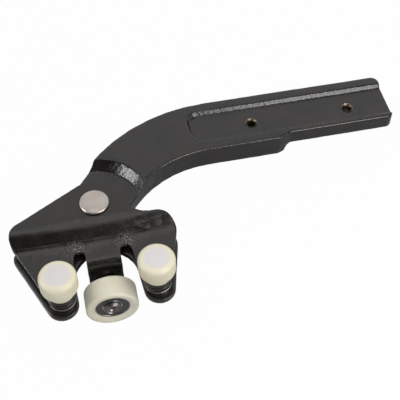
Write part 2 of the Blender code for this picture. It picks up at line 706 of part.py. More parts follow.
def make_guides(carriage, materials):
    washer_top, _ = guide_heights()
    washer = ring(STUD_JOURNAL_RADIUS + BORE_GAP, GUIDE_NECK_RADIUS, FLANGE_TOP + SEAT_GAP, washer_top)
    spacer = ring(STUD_RADIUS + BORE_GAP, SPACER_RADIUS, LOWER_TOP + SEAT_GAP, FLANGE_BOTTOM - SEAT_GAP)
    for side, x in guide_places():
        place = (x, GUIDE_Y, 0.0)
        finish(turned(guide_roller_profile()), f"guide_roller_{side}", materials["nylon"], place,
               parent=carriage)
        finish(turned(guide_stud_profile(), HIDDEN_SEGMENTS), f"guide_stud_{side}", materials["zinc"],
               place, parent=carriage)
        finish(turned(washer, HIDDEN_SEGMENTS), f"guide_washer_{side}", materials["black_coat"], place,
               parent=carriage)
        finish(turned(spacer, HIDDEN_SEGMENTS), f"plate_spacer_{side}", materials["zinc"], place,
               parent=carriage)


# ---------------------------------------------------------------- load roller

# Profiles below have their height along the axle, zero at the bearing's middle, positive forwards.

def tyre_profile():
    """Tyre with a dished front face and a lip at each end of the bearing's seat."""
    seat = BEARING_WIDTH / 2 + SEAT_GAP
    bore = BEARING_RADIUS + BORE_GAP
    profile = [(TYRE_LIP_RADIUS, TYRE_FRONT - TYRE_DISH), (TYRE_LIP_RADIUS, seat), (bore, seat),
               (bore, -seat), (TYRE_LIP_RADIUS, -seat), (TYRE_LIP_RADIUS, -TYRE_BACK)]
    back_corner = rounded_corner(TYRE_RADIUS, TYRE_BACK, TYRE_ROUND, TYRE_ROUND_STEPS)
    profile.extend((radius, -height) for radius, height in back_corner[::-1])
    profile.extend(rounded_corner(TYRE_RADIUS, TYRE_FRONT, TYRE_ROUND, TYRE_ROUND_STEPS))
    profile.append((TYRE_DISH_RADIUS, TYRE_FRONT))
    return profile


def race_groove(direction, steps=4):
    """Points of a race's groove in a ring's wall; direction +1 is the outer ring's."""
    groove = BALL_RADIUS + SEAT_GAP
    reach = math.acos(RACE_SHOULDER / groove)
    points = []
    for step in range(steps + 1):
        angle = reach * (2.0 * step / steps - 1.0)
        radius = BALL_CIRCLE_RADIUS + direction * groove * math.cos(angle)
        points.append((radius, groove * math.sin(angle)))
    return points


def outer_ring_profile():
    half = BEARING_WIDTH / 2
    shoulder = BALL_CIRCLE_RADIUS + RACE_SHOULDER
    seat = half - SHIELD_INSET - SHIELD_THICKNESS - SEAT_GAP
    profile = [(BEARING_RADIUS, -half), (SHIELD_SEAT_RADIUS, -half), (SHIELD_SEAT_RADIUS, -seat),
               (shoulder, -seat)]
    profile.extend(race_groove(1))
    profile.extend([(shoulder, seat), (SHIELD_SEAT_RADIUS, seat), (SHIELD_SEAT_RADIUS, half),
                    (BEARING_RADIUS, half)])
    return profile


def inner_ring_profile():
    half = BEARING_WIDTH / 2
    shoulder = BALL_CIRCLE_RADIUS - RACE_SHOULDER
    bore = AXLE_RADIUS + BORE_GAP
    return [(bore, -half), (shoulder, -half)] + race_groove(-1) + [(shoulder, half), (bore, half)]


def ball_places():
    """Centres of the balls round the axle."""
    for index in range(BALL_COUNT):
        angle = math.tau * index / BALL_COUNT
        yield Vector((math.cos(angle), math.sin(angle), 0.0)) * BALL_CIRCLE_RADIUS


def make_balls(axle, materials):
    for number, place in enumerate(ball_places(), 1):
        ball = bmesh.new()
        bmesh.ops.create_uvsphere(ball, u_segments=BALL_SEGMENTS, v_segments=BALL_RINGS,
                                  radius=BALL_RADIUS)
        finish(ball, f"bearing_ball_{number}", materials["bearing_steel"], place, parent=axle)


def make_cage(axle, materials):
    """Crown cage behind the balls, with a pocket for each one."""
    cage_low = -(BALL_RADIUS + SEAT_GAP + CAGE_BACK_WALL)
    inner = BALL_CIRCLE_RADIUS - CAGE_WALL
    outer = BALL_CIRCLE_RADIUS + CAGE_WALL
    profile = ring(inner, outer, cage_low, -CAGE_SET_BACK)
    cage = finish(turned(profile, CAGE_SEGMENTS), "bearing_cage", materials["bronze"], parent=axle)
    pockets = bmesh.new()
    for place in ball_places():
        bmesh.ops.create_uvsphere(pockets, u_segments=BALL_SEGMENTS, v_segments=BALL_RINGS,
                                  radius=BALL_RADIUS + SEAT_GAP, matrix=Matrix.Translation(place))
    cut(cage, finish(pockets, "pocket_cutter", None))


def make_bearing(axle, materials):
    steel = materials["bearing_steel"]
    finish(turned(outer_ring_profile(), HIDDEN_SEGMENTS), "bearing_outer_ring", steel, parent=axle)
    finish(turned(inner_ring_profile(), HIDDEN_SEGMENTS), "bearing_inner_ring", steel, parent=axle)
    make_balls(axle, materials)
    make_cage(axle, materials)
    outside = BEARING_WIDTH / 2 - SHIELD_INSET
    shield_outer = SHIELD_SEAT_RADIUS - BORE_GAP
    for name, facing in (("bearing_shield_front", 1), ("bearing_shield_back", -1)):
        profile = ring(SHIELD_BORE_RADIUS, shield_outer, facing * (outside - SHIELD_THICKNESS),
                       facing * outside)
        finish(turned(profile), name, materials["shield"], parent=axle)


def make_load_axle(axle, materials):
    """Axle headed behind the tongue and riveted over in front of the bearing."""
    tongue_front = TYRE_BACK + TYRE_STAND_OFF
    tongue_back = tongue_front + PLATE_THICKNESS
    bearing_half = BEARING_WIDTH / 2
    washer_low = -(tongue_back + SEAT_GAP + AXLE_WASHER_THICKNESS)
    head_high = washer_low - SEAT_GAP
    rivet_low = bearing_half + SEAT_GAP
    rivet_high = rivet_low + AXLE_RIVET_THICKNESS
    rivet_round = AXLE_RIVET_THICKNESS / 2
    profile = [
        (0.0, head_high - AXLE_HEAD_THICKNESS),
        (AXLE_HEAD_RADIUS - rivet_round, head_high - AXLE_HEAD_THICKNESS),
        (AXLE_HEAD_RADIUS, head_high - AXLE_HEAD_THICKNESS + rivet_round),
        (AXLE_HEAD_RADIUS, head_high),
        (AXLE_RADIUS, head_high),
        (AXLE_RADIUS, rivet_low),
        (AXLE_RIVET_RADIUS, rivet_low),
        (AXLE_RIVET_RADIUS, rivet_high - rivet_round),
        (AXLE_RIVET_RADIUS - rivet_round, rivet_high),
        (AXLE_SOCKET_RADIUS, rivet_high),
        (AXLE_SOCKET_FLOOR_RADIUS, rivet_high - AXLE_SOCKET_DEPTH),
        (0.0, rivet_high - AXLE_SOCKET_DEPTH),
    ]
    finish(turned(profile, HIDDEN_SEGMENTS), "load_axle", materials["zinc"], parent=axle)
    bore = AXLE_RADIUS + BORE_GAP
    washer = ring(bore, AXLE_WASHER_RADIUS, washer_low, -(tongue_back + SEAT_GAP))
    finish(turned(washer, HIDDEN_SEGMENTS), "axle_washer", materials["zinc"], parent=axle)
    spacer = ring(bore, AXLE_SPACER_RADIUS, -(tongue_front - SEAT_GAP), -(bearing_half + SEAT_GAP))
    finish(turned(spacer, HIDDEN_SEGMENTS), "axle_spacer", materials["zinc"], parent=axle)


def make_load_roller(carriage, materials):
    axle = make_empty("load_axle_line", carriage, (AXLE_X, LOAD_MIDDLE_Y, AXLE_Z))
    axle.rotation_euler = (math.pi / 2, 0.0, 0.0)
    finish(turned(tyre_profile()), "load_roller_tyre", materials["nylon"], parent=axle)
    make_bearing(axle, materials)
    make_load_axle(axle, materials)


# ---------------------------------------------------------------- assembly

def make_empty(name, parent, location):
    empty = bpy.data.objects.new(name, None)
    bpy.context.collection.objects.link(empty)
    empty.parent = parent
    empty.location = location
    return empty


def clear_scene():
    for leftover in list(bpy.data.objects):
        bpy.data.objects.remove(leftover, do_unlink=True)


def main():
    clear_scene()
    materials = make_materials()
    root = make_empty("pivot_line", None, PIVOT_OFFSET)
    carriage = make_empty("carriage_swivel", root, (0.0, 0.0, 0.0))
    make_arm(root, materials)
    make_bushes(root, materials)
    make_pivot_pin(carriage, materials)
    make_upper_plate(carriage, materials)
    make_lower_plate(carriage, materials)
    make_guides(carriage, materials)
    make_load_roller(carriage, materials)


main()
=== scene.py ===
import json
import math

import bmesh
import bpy
from mathutils import Matrix, Vector

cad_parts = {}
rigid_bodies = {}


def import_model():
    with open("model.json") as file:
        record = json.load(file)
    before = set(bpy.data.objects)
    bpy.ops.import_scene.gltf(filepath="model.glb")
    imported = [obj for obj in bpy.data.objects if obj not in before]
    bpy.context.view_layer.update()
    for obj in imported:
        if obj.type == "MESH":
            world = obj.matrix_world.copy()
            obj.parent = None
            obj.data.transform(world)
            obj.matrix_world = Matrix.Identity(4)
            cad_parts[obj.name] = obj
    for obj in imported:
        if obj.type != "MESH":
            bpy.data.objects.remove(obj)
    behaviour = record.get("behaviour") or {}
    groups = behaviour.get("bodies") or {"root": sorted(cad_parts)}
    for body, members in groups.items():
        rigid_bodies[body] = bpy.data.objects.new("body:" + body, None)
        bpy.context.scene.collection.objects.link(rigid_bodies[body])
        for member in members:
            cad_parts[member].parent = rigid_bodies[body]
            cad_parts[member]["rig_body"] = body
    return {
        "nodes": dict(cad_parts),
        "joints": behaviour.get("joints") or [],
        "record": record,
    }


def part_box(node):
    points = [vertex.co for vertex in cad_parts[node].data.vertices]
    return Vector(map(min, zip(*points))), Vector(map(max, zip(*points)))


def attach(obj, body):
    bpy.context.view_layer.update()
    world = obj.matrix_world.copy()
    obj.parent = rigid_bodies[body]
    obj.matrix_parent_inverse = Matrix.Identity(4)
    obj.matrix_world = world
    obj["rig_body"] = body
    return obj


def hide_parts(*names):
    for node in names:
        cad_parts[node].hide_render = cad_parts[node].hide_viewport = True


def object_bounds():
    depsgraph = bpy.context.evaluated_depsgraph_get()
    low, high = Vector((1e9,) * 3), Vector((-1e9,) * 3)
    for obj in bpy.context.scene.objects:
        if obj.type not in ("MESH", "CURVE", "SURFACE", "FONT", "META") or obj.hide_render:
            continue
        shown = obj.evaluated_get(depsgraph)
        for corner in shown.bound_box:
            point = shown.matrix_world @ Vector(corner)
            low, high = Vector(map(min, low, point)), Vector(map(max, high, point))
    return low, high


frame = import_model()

CAD_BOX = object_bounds()
MM = 0.001
BODY_OF = {node: piece["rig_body"] for node, piece in frame["nodes"].items()}
SLOT_OF = {part["node"]: part["material_slot"] for part in frame["record"]["subparts"]}
JOINTS = {joint["name"]: joint for joint in frame["joints"]}
PIVOT = Vector(JOINTS["carriage_swivel"]["pos_m"])
ROLLER_AXLE = Vector(JOINTS["load_roller_spin"]["pos_m"])
BOLT_SPACING = 64.0 * MM
SEAT_RADIUS = 3.95 * MM
ROOT_RADIUS = 2.75 * MM
CREST_RADIUS = 2.45 * MM
THREAD_PITCH = 0.8 * MM
THREAD_START = -1.25 * MM
THREAD_TURNS = 9
THREAD_STEPS = 40
PLATE_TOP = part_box("upper_plate")[1][2]


# ---------------------------------------------------------------- node materials

class Shader:
    """Small helper that adds nodes to one Principled material and joins them."""

    def __init__(self, name, metallic=0.0, specular=0.5):
        self.material = bpy.data.materials.new(name)
        self.material.use_nodes = True
        self.tree = self.material.node_tree
        self.principled = self.tree.nodes["Principled BSDF"]
        self.principled.inputs["Metallic"].default_value = metallic
        self.principled.inputs["Specular IOR Level"].default_value = specular
        places = self.tree.nodes.new("ShaderNodeTexCoord")
        self.coordinates = places.outputs["Object"]
        self.normals = places.outputs["Normal"]

    def link(self, source, target):
        self.tree.links.new(source, target)
        return target

    def set(self, socket, value):
        """A number goes on the socket itself, and anything else is linked to it."""
        if isinstance(value, (int, float, tuple)):
            socket.default_value = value
        else:
            self.link(value, socket)

    def noise(self, scale, detail=4.0, roughness=0.55, stretch=(1.0, 1.0, 1.0)):
        mapping = self.tree.nodes.new("ShaderNodeMapping")
        mapping.inputs["Scale"].default_value = stretch
        self.link(self.coordinates, mapping.inputs["Vector"])
        texture = self.tree.nodes.new("ShaderNodeTexNoise")
        texture.inputs["Scale"].default_value = scale
        texture.inputs["Detail"].default_value = detail
        texture.inputs["Roughness"].default_value = roughness
        self.link(mapping.outputs["Vector"], texture.inputs["Vector"])
        return texture.outputs["Fac"]

    def scaled(self, value, low, high, to_low=0.0, to_high=1.0):
        node = self.tree.nodes.new("ShaderNodeMapRange")
        for key, number in (("From Min", low), ("From Max", high), ("To Min", to_low), ("To Max", to_high)):
            node.inputs[key].default_value = number
        self.link(value, node.inputs["Value"])
        return node.outputs["Result"]

    def maths(self, operation, first, second):
        node = self.tree.nodes.new("ShaderNodeMath")
        node.operation = operation
        self.set(node.inputs[0], first)
        self.set(node.inputs[1], second)
        return node.outputs[0]

    def mixed(self, factor, first, second):
        node = self.tree.nodes.new("ShaderNodeMix")
        node.data_type = "RGBA"
        self.set(node.inputs[0], factor)
        self.set(node.inputs[6], first)
        self.set(node.inputs[7], second)
        return node.outputs[2]

    def attribute(self, name):
        """A share stored on the mesh's points, and zero on a mesh without it."""
        node = self.tree.nodes.new("ShaderNodeAttribute")
        node.attribute_name = name
        return node.outputs["Fac"]

    def pointiness(self, low, high):
        geometry = self.tree.nodes.new("ShaderNodeNewGeometry")
        return self.scaled(geometry.outputs["Pointiness"], low, high)

    def facing_up(self):
        """One on the piece's own level top, falling off with slope; it turns with the piece."""
        split = self.tree.nodes.new("ShaderNodeSeparateXYZ")
        self.link(self.normals, split.inputs[0])
        return split.outputs["Z"]

    def bump(self, height, distance, strength=1.0, under=None):
        node = self.tree.nodes.new("ShaderNodeBump")
        node.inputs["Distance"].default_value = distance
        node.inputs["Strength"].default_value = strength
        self.link(height, node.inputs["Height"])
        if under is not None:
            self.link(under, node.inputs["Normal"])
        return node.outputs["Normal"]

    def done(self, colour, roughness, normal):
        self.set(self.principled.inputs["Base Color"], colour)
        self.set(self.principled.inputs["Roughness"], roughness)
        self.link(normal, self.principled.inputs["Normal"])
        return self.material


def black_coat(name, dark, brown, rough_low, rough_high, grain, grain_scale):
    """Dip-coated steel: orange-peel grain, brown patches, greyer on sharp edges where the coat is rubbed
    and as a painted highlight along them, and bare where scuffed.
    """
    shader = Shader(name, specular=0.5)
    patches = shader.scaled(shader.noise(60.0, 5.0), 0.35, 0.7)
    colour = shader.mixed(patches, dark, brown)
    speckle = shader.scaled(shader.noise(1500.0, 3.0), 0.62, 0.75, 0.0, 0.5)
    colour = shader.mixed(speckle, colour, (0.060, 0.054, 0.050, 1.0))
    # Sharp edges go greyer in spots: partly rubbed coat, partly a painted highlight standing in for light
    # caught along the edges.
    edge_wear_and_sheen = shader.scaled(shader.noise(400.0), 0.4, 0.65)
    edges = shader.maths("MULTIPLY", shader.pointiness(0.53, 0.62), edge_wear_and_sheen)
    colour = shader.mixed(shader.maths("MULTIPLY", edges, 0.5), colour, (0.11, 0.10, 0.092, 1.0))
    flecks = shader.scaled(shader.noise(1100.0, 4.0), 0.46, 0.60)
    torn = shader.maths("MULTIPLY", shader.attribute("scuffed"), flecks)
    colour = shader.mixed(torn, colour, (0.20, 0.185, 0.165, 1.0))
    roughness = shader.scaled(shader.noise(180.0, 6.0), 0.3, 0.7, rough_low, rough_high)
    normal = shader.bump(shader.noise(grain_scale, 2.0), grain)
    normal = shader.bump(torn, 0.25 * MM, under=normal)
    normal = shader.bump(shader.noise(grain_scale * 3.2, 3.0), grain * 0.3, under=normal)
    return shader.done(colour, roughness, normal)


def nylon(name, light, deep, painted_top_sheen):
    """Cream moulded nylon with faint clouds and fine scuffs; on a cap the flat top gets a painted sheen, a
    whiter grey that stands in for the light reflected there.
    """
    shader = Shader(name, specular=0.45)
    shader.principled.inputs["Subsurface Weight"].default_value = 0.25
    shader.principled.inputs["Subsurface Radius"].default_value = (1.0, 0.75, 0.45)
    shader.principled.inputs["Subsurface Scale"].default_value = 1.2 * MM
    clouds = shader.scaled(shader.noise(90.0, 4.0), 0.3, 0.7)
    colour = shader.mixed(clouds, light, deep)
    if painted_top_sheen:
        # Painted sheen: faces that look up are mixed towards a whiter grey, standing in for light reflected
        # off the flat top.
        top = shader.scaled(shader.facing_up(), 0.985, 0.999, 0.0, 0.85)
        colour = shader.mixed(top, colour, (0.76, 0.73, 0.76, 1.0))
    scuffs = shader.scaled(shader.noise(700.0, 5.0, 0.7, (1.0, 1.0, 0.25)), 0.60, 0.72, 0.0, 0.30)
    colour = shader.mixed(scuffs, colour, (0.56, 0.50, 0.38, 1.0))
    roughness = shader.scaled(shader.noise(260.0, 4.0), 0.3, 0.7, 0.36, 0.52)
    normal = shader.bump(shader.noise(900.0, 3.0), 0.02 * MM)
    return shader.done(colour, roughness, normal)


def metal(name, light, dark, rough_low, rough_high, grain, metallic=1.0, scale=500.0):
    """Plated or ground metal with faint blotches, dark specks and fine grain."""
    shader = Shader(name, metallic=metallic)
    patches = shader.scaled(shader.noise(140.0, 5.0), 0.3, 0.7)
    colour = shader.mixed(patches, light, dark)
    specks = shader.scaled(shader.noise(1400.0, 4.0), 0.6, 0.72, 0.0, 0.4)
    colour = shader.mixed(specks, colour, tuple(0.5 * part for part in dark[:3]) + (1.0,))
    roughness = shader.scaled(shader.noise(scale, 5.0), 0.3, 0.7, rough_low, rough_high)
    normal = shader.bump(shader.noise(scale * 2.0, 3.0), grain)
    return shader.done(colour, roughness, normal)


MATERIALS = {
    "arm_coat": black_coat("arm_coat", (0.011, 0.0095, 0.0095, 1.0), (0.020, 0.016, 0.014, 1.0),
                           0.15, 0.27, 0.26 * MM, 450.0),
    "black_coat": black_coat("plate_coat", (0.010, 0.0085, 0.0075, 1.0), (0.017, 0.0135, 0.010, 1.0),
                             0.17, 0.30, 0.05 * MM, 300.0),
    "zinc": metal("zinc_plate", (0.50, 0.455, 0.42, 1.0), (0.40, 0.36, 0.325, 1.0), 0.30, 0.46, 0.02 * MM),
    "bearing_steel": metal("bearing_steel", (0.50, 0.50, 0.50, 1.0), (0.38, 0.38, 0.38, 1.0),
                           0.22, 0.36, 0.005 * MM),
    "dark_steel": metal("dark_steel", (0.22, 0.20, 0.19, 1.0), (0.12, 0.11, 0.10, 1.0),
                        0.28, 0.42, 0.03 * MM),
    "shield": metal("shield_grey", (0.085, 0.085, 0.085, 1.0), (0.055, 0.055, 0.055, 1.0),
                    0.34, 0.50, 0.01 * MM, 0.35),
    "bronze": metal("bronze_plain", (0.50, 0.34, 0.18, 1.0), (0.38, 0.25, 0.13, 1.0), 0.34, 0.5, 0.01 * MM),
    "thread": metal("bare_thread", (0.20, 0.165, 0.125, 1.0), (0.12, 0.095, 0.065, 1.0),
                    0.34, 0.5, 0.02 * MM),
    "nylon": nylon("cream_nylon", (0.84, 0.81, 0.68, 1.0), (0.81, 0.76, 0.60, 1.0), False),
    "cap_nylon": nylon("cap_nylon", (0.89, 0.84, 0.67, 1.0), (0.85, 0.78, 0.57, 1.0), True),
}


# ---------------------------------------------------------------- shapes

def add_piece(mesh, name, material, body, slot, *replaced):
    """Mesh as a shown piece that rides on a body and stands for the CAD nodes named."""
    mesh.materials.clear()
    mesh.materials.append(MATERIALS[material])
    piece = bpy.data.objects.new(name, mesh)
    bpy.context.scene.collection.objects.link(piece)
    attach(piece, body)
    if replaced:
        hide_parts(*replaced)
    return piece


def welded(node):
    """CAD node's mesh as a bmesh with its split corners joined."""
    solid = bmesh.new()
    solid.from_mesh(frame["nodes"][node].data)
    bmesh.ops.remove_doubles(solid, verts=solid.verts, dist=1e-6)
    return solid


def evaluated_mesh(piece):
    """Piece's mesh with its modifiers applied, as a new mesh."""
    depsgraph = bpy.context.evaluated_depsgraph_get()
    return bpy.data.meshes.new_from_object(piece.evaluated_get(depsgraph))


def displaced(piece, name, scale, strength, weigh):
    """Adds one relief of waves to a piece, weighed by place where a function is given."""
    if weigh:
        piece.data = evaluated_mesh(piece)
        piece.modifiers.clear()
        group = piece.vertex_groups.new(name=name)
        for vert in piece.data.vertices:
            group.add([vert.index], weigh(vert.co), "REPLACE")
    texture = bpy.data.textures.new(name, "CLOUDS")
    texture.noise_scale = scale
    texture.noise_depth = 2
    displace = piece.modifiers.new("relief", "DISPLACE")
    displace.texture = texture
    displace.texture_coords = "GLOBAL"
    displace.strength = strength
    displace.mid_level = 1.0
    if weigh:
        displace.vertex_group = name


def softened(node, name, material, voxel, passes, relief, shift=None):
    """Pressed or forged steel: edges melted round, and faces with a little relief that only sinks in.

    Each relief is (size of its waves, depth, function that weighs it by place or None). Shift says
    how far a point then moves up or down.
    """
    solid = welded(node)
    mesh = bpy.data.meshes.new(name)
    solid.to_mesh(mesh)
    solid.free()
    rough = bpy.data.objects.new(f"{name}_rough", mesh)
    bpy.context.scene.collection.objects.link(rough)
    remesh = rough.modifiers.new("remesh", "REMESH")
    remesh.mode = "VOXEL"
    remesh.voxel_size = voxel
    if shift:
        fine = evaluated_mesh(rough)
        rough.modifiers.clear()
        rough.data = fine
        scuffs = fine.attributes.new("scuffed", "FLOAT", "POINT")
        for vert in fine.vertices:
            scuffs.data[vert.index].value = scuffed_metal(vert.co)
            vert.co.z += shift(vert.co)
    smooth = rough.modifiers.new("smooth", "SMOOTH")
    smooth.factor = 0.5
    smooth.iterations = passes
    for scale, strength, weigh in relief:
        displaced(rough, f"{name}_{scale * 1000:.1f}", scale, strength, weigh)
    final = evaluated_mesh(rough)
    final.name = name
    bpy.data.objects.remove(rough)
    final.shade_smooth()
    return add_piece(final, name, material, BODY_OF[node], SLOT_OF[node], node)


def meridian(node, axis):
    """Half section of a turned CAD node: ordered (radius, height) points, whether they close, sides."""
    solid = welded(node)
    low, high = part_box(node)
    centre = (low + high) / 2
    across = (0, 1) if axis == 2 else (0, 2)
    places = {}
    for vert in solid.verts:
        offset = vert.co - centre
        angle = math.atan2(offset[across[1]], offset[across[0]])
        places[vert] = (math.hypot(offset[across[0]], offset[across[1]]), vert.co[axis], angle)
    first = min(abs(place[2]) for place in places.values())
    station = {vert for vert, place in places.items() if abs(place[2] - first) < 2e-3}
    sides = round(len(solid.verts) / len(station))
    near = {vert: [] for vert in station}
    for edge in solid.edges:
        if edge.verts[0] in station and edge.verts[1] in station:
            near[edge.verts[0]].append(edge.verts[1])
            near[edge.verts[1]].append(edge.verts[0])
    ends = [vert for vert in station if len(near[vert]) == 1]
    closed = not ends
    pool = ends or list(station)
    vert = min(pool, key=lambda v: (places[v][1], places[v][0]))
    chain = [vert]
    while True:
        following = [v for v in near[vert] if v not in chain]
        if not following:
            break
        vert = min(following, key=lambda v: places[v][0])
        chain.append(vert)
    points = [(places[v][0], places[v][1]) for v in chain]
    solid.free()
    if not closed:
        points = [(0.0, points[0][1])] + points + [(0.0, points[-1][1])]
    return points, closed, sides


def fillet(points, closed, radius, steps=3):
    """Rounds each sharp corner of a half section."""
    rounded = []
    count = len(points)
    for index, point in enumerate(points):
        here = Vector(point)
        if not closed and index in (0, count - 1):
            rounded.append(point)
            continue
        back = Vector(points[index - 1]) - here
        ahead = Vector(points[(index + 1) % count]) - here
        if back.length < 1e-7 or ahead.length < 1e-7 or here.x < 1e-6:
            rounded.append(point)
            continue
        inside = back.angle(ahead)
        if inside > math.radians(150.0):
            rounded.append(point)
            continue
        reach = min(radius / math.tan(inside / 2), 0.42 * back.length, 0.42 * ahead.length)
        start = here + back.normalized() * reach
        end = here + ahead.normalized() * reach
        for step in range(steps + 1):
            share = step / steps
            curve = start * (1 - share) ** 2 + here * 2 * share * (1 - share) + end * share ** 2
            rounded.append((curve.x, curve.y))
    return rounded


def spun(points, closed, centre, axis, segments=96):
    """Half section turned about an upright axis (2) or one along Y (1), through centre."""
    solid = bmesh.new()
    rings = []
    for radius, height in points:
        loop = []
        if radius < 1e-7:
            loop = [solid.verts.new((0.0, 0.0, height))] * segments
        else:
            for step in range(segments):
                angle = math.tau * step / segments
                loop.append(solid.verts.new((radius * math.cos(angle), radius * math.sin(angle), height)))
        rings.append(loop)
    pairs = list(zip(rings, rings[1:]))
    if closed:
        pairs.append((rings[-1], rings[0]))
    for lower, upper in pairs:
        for step in range(segments):
            after = (step + 1) % segments
            corners = []
            for vert in (lower[step], lower[after], upper[after], upper[step]):
                if vert not in corners:
                    corners.append(vert)
            if len(corners) > 2:
                solid.faces.new(corners)
    bmesh.ops.recalc_face_normals(solid, faces=solid.faces)
    if axis == 1:
        turn = Matrix(((1, 0, 0), (0, 0, 1), (0, -1, 0))).to_4x4()
        solid.transform(turn)
    place = Vector(centre)
    place[axis] = 0.0
    solid.transform(Matrix.Translation(place))
    return solid


def respun(node, name, material, axis, radius, edit=None, segments=96):
    """Turned CAD node made again with a round outline and filleted corners, inside the same box."""
    points, closed, sides = meridian(node, axis)
    shrink = math.cos(math.pi / sides)
    points = [(r * shrink, h) for r, h in points]
    points = fillet(points, closed, radius)
    if edit:
        points = edit(points)
    low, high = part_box(node)
    solid = spun(points, closed, (low + high) / 2, axis, segments)
    mesh = bpy.data.meshes.new(name)
    solid.to_mesh(mesh)
    solid.free()
    mesh.shade_smooth()
    mesh.set_sharp_from_angle(angle=math.radians(40.0))
    return add_piece(mesh, name, material, BODY_OF[node], SLOT_OF[node], node)


# ---------------------------------------------------------------- steel parts

# The joggle's own sizes as the CAD has them, from the pivot, then how far its creases are blurred
JOGGLE_TOP_Y = -13.8 * MM
JOGGLE_RUN = 8.4 * MM
JOGGLE_DROP = 8.4 * MM
JOGGLE_INNER_RADIUS = 1.5 * MM
JOGGLE_OUTER_RADIUS = 5.5 * MM
JOGGLE_BOW = 2.0 * MM
JOGGLE_SPAN = 60.0 * MM
JOGGLE_EAR_START = 22.0 * MM
JOGGLE_EAR_SPREAD = 5.0 * MM
JOGGLE_SOFTNESS = 3.1 * MM
PLATE_THICKNESS = 4.0 * MM
SLOT_MIDDLE_X = 14.5 * MM


def soft_ramp(run, softness):
    """Ramp that starts at zero, blurred over a softness."""
    share = run / softness
    below = 0.5 * (1.0 + math.erf(share / math.sqrt(2.0)))
    return run * below + softness * math.exp(-0.5 * share * share) / math.sqrt(math.tau)


def joggle_drop(run, length):
    """How far the pressing's top face has dropped at a run past the joggle's start: arc, slope, arc."""
    reach = JOGGLE_OUTER_RADIUS + JOGGLE_INNER_RADIUS
    rise = JOGGLE_DROP - reach
    slope = math.atan2(rise, length) + math.asin(reach / math.hypot(length, rise))
    first = JOGGLE_OUTER_RADIUS * math.sin(slope)
    last = length - JOGGLE_INNER_RADIUS * math.sin(slope)
    if run <= 0.0:
        return 0.0
    if run <= first:
        return JOGGLE_OUTER_RADIUS - math.sqrt(JOGGLE_OUTER_RADIUS ** 2 - run ** 2)
    if run < last:
        return JOGGLE_OUTER_RADIUS * (1.0 - math.cos(slope)) + (run - first) * math.tan(slope)
    if run < length:
        return JOGGLE_DROP - JOGGLE_INNER_RADIUS + math.sqrt(JOGGLE_INNER_RADIUS ** 2 - (length - run) ** 2)
    return JOGGLE_DROP


def joggle_shift(place):
    """How far a point of the upper plate moves so that the joggle's two creases become one soft slope."""
    x, y = place.x - PIVOT.x, place.y - PIVOT.y
    bow = JOGGLE_BOW * (1.0 - math.cos(math.pi * x / (2 * JOGGLE_SPAN)))
    into_ear = max(0.0, x - JOGGLE_EAR_START) / (JOGGLE_SPAN - JOGGLE_EAR_START)
    start = JOGGLE_TOP_Y + bow + JOGGLE_EAR_SPREAD * into_ear
    length = start - (JOGGLE_TOP_Y - JOGGLE_RUN + bow)
    run = start - y
    drop = joggle_drop(run, length)
    soft = soft_ramp(run, JOGGLE_SOFTNESS) - soft_ramp(run - length, JOGGLE_SOFTNESS)
    change = drop - soft * JOGGLE_DROP / length
    if change >= 0.0:
        return change
    return change * min(1.0, max(0.0, 1.0 - (PLATE_TOP - drop - place.z) / PLATE_THICKNESS))


def scuffed_metal(place):
    """Narrow band of torn metal round the closed ends of the two slots."""
    front = PIVOT.y - place.y
    across = abs(place.x - PIVOT.x)
    sideways, forwards = (across - SLOT_MIDDLE_X) / (5.5 * MM), (front - 25.8 * MM) / (3.8 * MM)
    return math.exp(-sideways ** 2 - forwards ** 2)


def worked_metal(place):
    """Where the pressing's metal is drawn rough: the flange in front of the joggle, most at the slots."""
    front = PIVOT.y - place.y
    across = abs(place.x - PIVOT.x)
    fades_in = min(1.0, max(0.0, (front - 19.0 * MM) / (6.0 * MM)))
    fades_out = min(1.0, max(0.0, (44.0 * MM - front) / (8.0 * MM)))
    sideways, forwards = (across - SLOT_MIDDLE_X) / (9.0 * MM), (front - 27.0 * MM) / (9.0 * MM)
    near_slots = math.exp(-sideways ** 2 - forwards ** 2)
    return min(1.0, fades_in * fades_out * (0.25 + 0.75 * near_slots))


def make_steel():
    softened("arm", "arm_forging", "arm_coat", 0.6 * MM, 9,
             ((9.0 * MM, 0.30 * MM, None), (1.8 * MM, 0.10 * MM, None)))
    softened("lower_plate", "lower_plate_pressing", "black_coat", 0.5 * MM, 12,
             ((12.0 * MM, 0.35 * MM, None),))
    softened("upper_plate", "upper_plate_pressing", "black_coat", 0.5 * MM, 12,
             ((14.0 * MM, 0.30 * MM, None), (6.0 * MM, 1.1 * MM, worked_metal),
              (1.1 * MM, 0.5 * MM, scuffed_metal)), joggle_shift)


make_steel()


# ---------------------------------------------------------------- turned parts

# (how far in from the rim, height over the top) in mm, from the rim of the pin's head to its inner ring
PIN_HEAD_STEPS = ((0.0, -0.62), (0.25, -0.30), (0.75, -0.02), (1.1, 0.0), (1.5, -0.22), (1.8, -0.22),
                  (2.1, -0.08), (4.2, -0.14), (4.5, -0.20), (4.8, -0.16))
PIN_FACE_SINK = 0.18 * MM
PIN_HEAD_EDGE = 0.75 * MM    # what lies nearer to the top than this is made again
PIN_HEAD_REACH = 2.0 * MM    # the head's widest radius is looked for down to here
# (radius, height past the face) in mm, from the riveted rim to the bottom of the pit
AXLE_END_STEPS = ((4.2, -0.45), (3.9, -0.45), (3.6, -0.05), (2.5, 0.0), (2.2, -0.15), (1.7, -1.3),
                  (0.0, -1.5))
AXLE_END_RADIUS = 4.4 * MM
AXLE_END_DEPTH = 1.2 * MM


